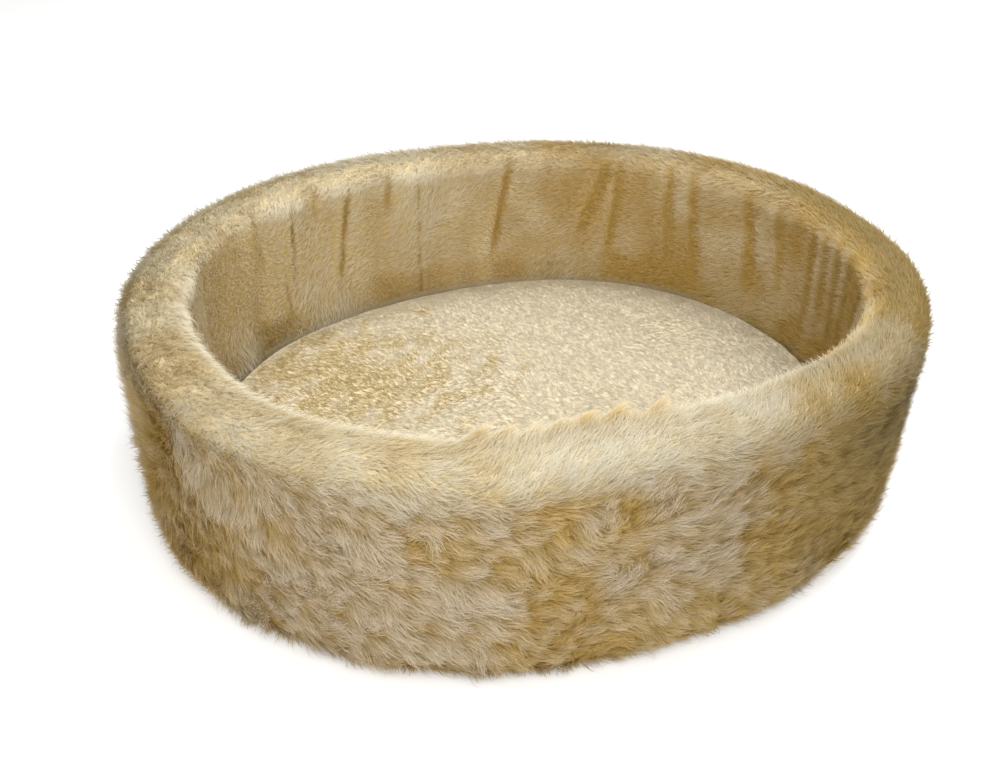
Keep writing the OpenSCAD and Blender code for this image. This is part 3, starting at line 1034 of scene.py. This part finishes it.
def twisted_material(name, dark, light, pitch, roughness):
    """Twisted thread or a wound coil."""
    material, tree, shader = new_material(name)
    ridges = bands(tree, object_place(tree, math.pi / 4), pitch, "X")
    tree.links.new(ramp_node(tree, ridges, [(0.1, dark), (0.7, light)]), shader.inputs["Base Color"])
    shader.inputs["Roughness"].default_value = roughness
    bumped(tree, shader, ridges, pitch / 4)
    return material


def metal_material():
    material, tree, shader = new_material("zip_metal")
    shader.inputs["Base Color"].default_value = (0.46, 0.38, 0.26, 1)
    shader.inputs["Metallic"].default_value = 1.0
    worn = blotches(tree, object_place(tree), 0.0015)
    rough = tree.nodes.new("ShaderNodeMapRange")
    rough.inputs["To Min"].default_value = 0.26
    rough.inputs["To Max"].default_value = 0.48
    tree.links.new(worn, rough.inputs[0])
    tree.links.new(rough.outputs[0], shader.inputs["Roughness"])
    bumped(tree, shader, worn, 0.00008, 0.4)
    return material


# ---------------------------------------------------------------- build

def build_wall(backing, fur):
    """The wall's cloth and its long pile."""
    rounds = round(PERIMETER / CLOTH_STEP)
    s, v = np.meshgrid(np.arange(rounds) * PERIMETER / rounds, WALL.at, indexing="ij")
    mesh = ring_mesh("wall_cloth", wall_point(s, v)[0])
    mesh.materials.append(backing)
    cloth = shown("wall_cloth", mesh)
    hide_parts("wall_cover")
    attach(cloth, "root")
    rng = np.random.default_rng(WALL_SEED)
    split, end = V_RIM + PILE_SPLIT, WALL.length - PILE_END
    wall_fur("outer_fur", rng, OUTER_STRANDS, PILE_START, split + PILE_OVERLAP, 3, fur)
    wall_fur("inner_fur", rng, INNER_STRANDS, split - PILE_OVERLAP, end, 2, fur)


def cushion_pile(x, y, rng):
    """The short pile on the cushion's top, golden in a streaky patch and by the edge."""
    count = len(x)
    lock_x, lock_y, lock = locks(x, y, CUSHION_LOCK, 91)
    p = np.stack([lock_x, lock_y, 0 * lock_x], -1)
    streak = np.stack([0.8 * lock_x + 0.6 * lock_y, 2.0 * (0.8 * lock_y - 0.6 * lock_x), 0 * lock_x], -1)
    zone = bump(np.hypot((lock_x + 0.15) / 1.1, lock_y - 0.11), 0.13)
    patch = 0.95 * zone + 0.50 * layered(streak, 0.026, 93)
    pile = {
        "turn": 2.2 + 0.8 * layered(p, 0.09, 92) + 0.05 * lock[0] + rng.normal(0, 0.25, count),
        "lift": np.clip(0.42 + 0.03 * lock[1] + rng.normal(0, 0.08, count), 0.06, 1.2),
        "length": CUSHION_LENGTH * (0.8 + 0.4 * rng.random(count)),
        "curl": rng.normal(0, 0.12, count),
        "gather": [((lock_x, lock_y), CUSHION_LOCK_PULL)],
    }
    edge = 1 - step(depth_inside(x, y), CUSHION_RIM + 0.004, CUSHION_RIM + 0.012)
    gold = 0.10 + 0.84 * step(patch, 0.18, 0.95) + 0.5 * edge + 0.03 * lock[2]
    return pile, (np.full(count, CUSHION_SHADE), gold, np.full(count, CUSHION_ROSY))


def side_pile(rng, fur):
    """The looser pile round the cushion's side."""
    count = SIDE_STRANDS
    start = CUSHION_BAND / 2
    s = np.sort(rng.random(count)) * PERIMETER
    v = start + rng.random(count) * (CUSHION.length - start - SIDE_END)
    pile = {
        "turn": 0.4 + rng.normal(0, 0.3, count),
        "lift": np.clip(0.60 + rng.normal(0, 0.15, count), 0.2, 1.2),
        "length": SIDE_LENGTH * (0.75 + 0.5 * rng.random(count)),
        "curl": rng.normal(0, 0.2, count),
        "gather": [],
    }
    path, normals = grow(cushion_edge_point, s, v, pile, rng, 2)
    tones = (np.full(count, SIDE_SHADE), np.full(count, SIDE_GOLD), np.full(count, CUSHION_ROSY))
    add_fur("cushion_side_fur", path, normals, rng, SIDE_STRAND, tones, CUSHION_RELIEF,
            fur, "cushion")


def build_cushion(backing, fur):
    """The cushion's cloth and the short pile on its top and side."""
    cloth = cushion_cloth(backing)
    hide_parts("cushion_top")
    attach(cloth, "cushion")
    heights = Heights(cloth)
    rng = np.random.default_rng(CUSHION_SEED)
    x = (cushion_high.x + CUSHION_SPREAD) * (2 * rng.random(CUSHION_STRANDS) - 1)
    y = (cushion_high.y + CUSHION_SPREAD) * (2 * rng.random(CUSHION_STRANDS) - 1)
    on_top = depth_inside(x, y) > CUSHION_RIM + 0.003
    x, y = x[on_top], y[on_top]
    pile, tones = cushion_pile(x, y, rng)
    path, normals = grow(heights.surface, x, y, pile, rng, 2)
    add_fur("cushion_fur", path, normals, rng, CUSHION_STRAND, tones, CUSHION_RELIEF,
            fur, "cushion")
    side_pile(rng, fur)


CLOTH_POINTS = 720


def cut_cloth():
    """Works out points round the oval and makes nothing from them."""
    oval_x, oval_y, out_x, out_y, _ = oval(np.arange(CLOTH_POINTS) * PERIMETER / CLOTH_POINTS)


# The rosy tone colours the outside. It is darker and pinker than the pale tone: painted shade of the outer
# wall, which gets less light than the top, and painted sheen of its lying pile.
wall_fur_material = fur_material(
    "wall_fur",
    [(0.68, 0.54, 0.25), (0.88, 0.81, 0.61), (0.98, 0.94, 0.82)],
    [(0.52, 0.37, 0.14), (0.73, 0.61, 0.41), (0.91, 0.82, 0.67)],
    [(0.42, 0.25, 0.03), (0.63, 0.42, 0.09), (0.84, 0.65, 0.28)],
)
cushion_fur_material = fur_material(
    "cushion_fur",
    [(0.77, 0.70, 0.55), (0.79, 0.74, 0.61), (0.82, 0.77, 0.66)],
    [(0.73, 0.66, 0.52), (0.76, 0.71, 0.58), (0.79, 0.74, 0.63)],
    [(0.52, 0.39, 0.14), (0.60, 0.46, 0.18), (0.67, 0.53, 0.24)],
)
build_wall(wall_backing_material(), wall_fur_material)
build_cushion(cushion_backing_material(), cushion_fur_material)

foam = foam_material()
plain_cloth = woven_material("plain_cloth", (0.40, 0.34, 0.23), (0.66, 0.58, 0.43), 0.0011)
panel_cloth = woven_material("panel_cloth", (0.055, 0.038, 0.024), (0.150, 0.105, 0.068), 0.0009)
zip_tape = woven_material("zip_tape", (0.045, 0.031, 0.020), (0.120, 0.085, 0.055), 0.0005)
gold_thread = twisted_material("gold_thread", (0.36, 0.25, 0.09), (0.58, 0.44, 0.20), 0.0006, 0.6)
brown_thread = twisted_material("brown_thread", (0.07, 0.045, 0.028), (0.17, 0.12, 0.075), 0.0006, 0.6)
nylon = twisted_material("zip_coil", (0.06, 0.040, 0.025), (0.14, 0.095, 0.060), 0.0011, 0.35)
metal = metal_material()
FINISHES = {
    "wall_foam": foam,
    "base_foam": foam,
    "cushion_core": foam,
    "floor_lining": plain_cloth,
    "cushion_base": plain_cloth,
    "underside_panel": panel_cloth,
    "wall_seam_thread": gold_thread,
    "floor_seam_thread": gold_thread,
    "cushion_thread": gold_thread,
    "hem_thread": brown_thread,
    "zip_thread": brown_thread,
    "zip_tape_front": zip_tape,
    "zip_tape_rear": zip_tape,
    "zip_coil_front": nylon,
    "zip_coil_rear": nylon,
    "zip_stops": metal,
    "zip_slider": metal,
    "zip_pull": metal,
}
for node, finish in FINISHES.items():
    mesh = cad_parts[node].data
    mesh.materials.clear()
    mesh.materials.append(finish)
cut_cloth()
cut_cloth()
cut_cloth()


# ---------------------------------------------------------------- stage, lights and camera

def studio():
    mesh = bpy.data.meshes.new("floor")
    half = 8
    corners = [(-half, -half, 0), (half, -half, 0), (half, half, 0), (-half, half, 0)]
    mesh.from_pydata(corners, [], [(0, 1, 2, 3)])
    floor = shown("floor", mesh)
    material, _, shader = new_material("floor")
    shader.inputs["Base Color"].default_value = (0.74, 0.74, 0.74, 1)
    shader.inputs["Roughness"].default_value = 0.9
    shader.inputs["Emission Color"].default_value = (1, 1, 1, 1)
    shader.inputs["Emission Strength"].default_value = 0.16
    mesh.materials.append(material)
    world = bpy.data.worlds.new("studio")
    bpy.context.scene.world = world
    world.use_nodes = True
    background = world.node_tree.nodes["Background"]
    background.inputs[0].default_value = (1.0, 0.99, 0.97, 1)
    background.inputs[1].default_value = 0.55
    bpy.context.scene.view_settings.view_transform = "Standard"


LIGHT_TARGET = Vector((0, 0, 0.08))


def area_light(name, place, size, power):
    """A square lamp that faces the bed."""
    light = bpy.data.lights.new(name, "AREA")
    light.size = size
    light.energy = power
    obj = shown(name, light)
    obj.location = place
    obj.rotation_euler = (LIGHT_TARGET - Vector(place)).to_track_quat("-Z", "Y").to_euler()


CAMERA_AZIMUTH = math.radians(-32.1)
CAMERA_PITCH = 0.5407
CAMERA_ROLL = 0.0323
CAMERA_AIM = Vector((0.0398, 0.1206, 0.0))
CAMERA_DISTANCE = 1.2964
CAMERA_LENS = 42.33


def place_camera():
    camera = bpy.data.cameras.new("camera")
    camera.sensor_width = 36
    camera.lens = CAMERA_LENS
    turn = Matrix.Rotation(CAMERA_AZIMUTH, 3, "Z") @ Matrix.Rotation(math.pi / 2 - CAMERA_PITCH, 3, "X")
    turn = turn @ Matrix.Rotation(CAMERA_ROLL, 3, "Z")
    obj = shown("camera", camera)
    obj.matrix_world = Matrix.Translation(CAMERA_AIM + turn.col[2] * CAMERA_DISTANCE) @ turn.to_4x4()
    bpy.context.scene.camera = obj


studio()
place_camera()
area_light("key", (-0.8, -1.3, 1.6), 1.2, 42)
area_light("side", (2.0, 0.7, 2.4), 1.6, 54)
area_light("sky", (0.2, 0.2, 2.8), 2.6, 34)
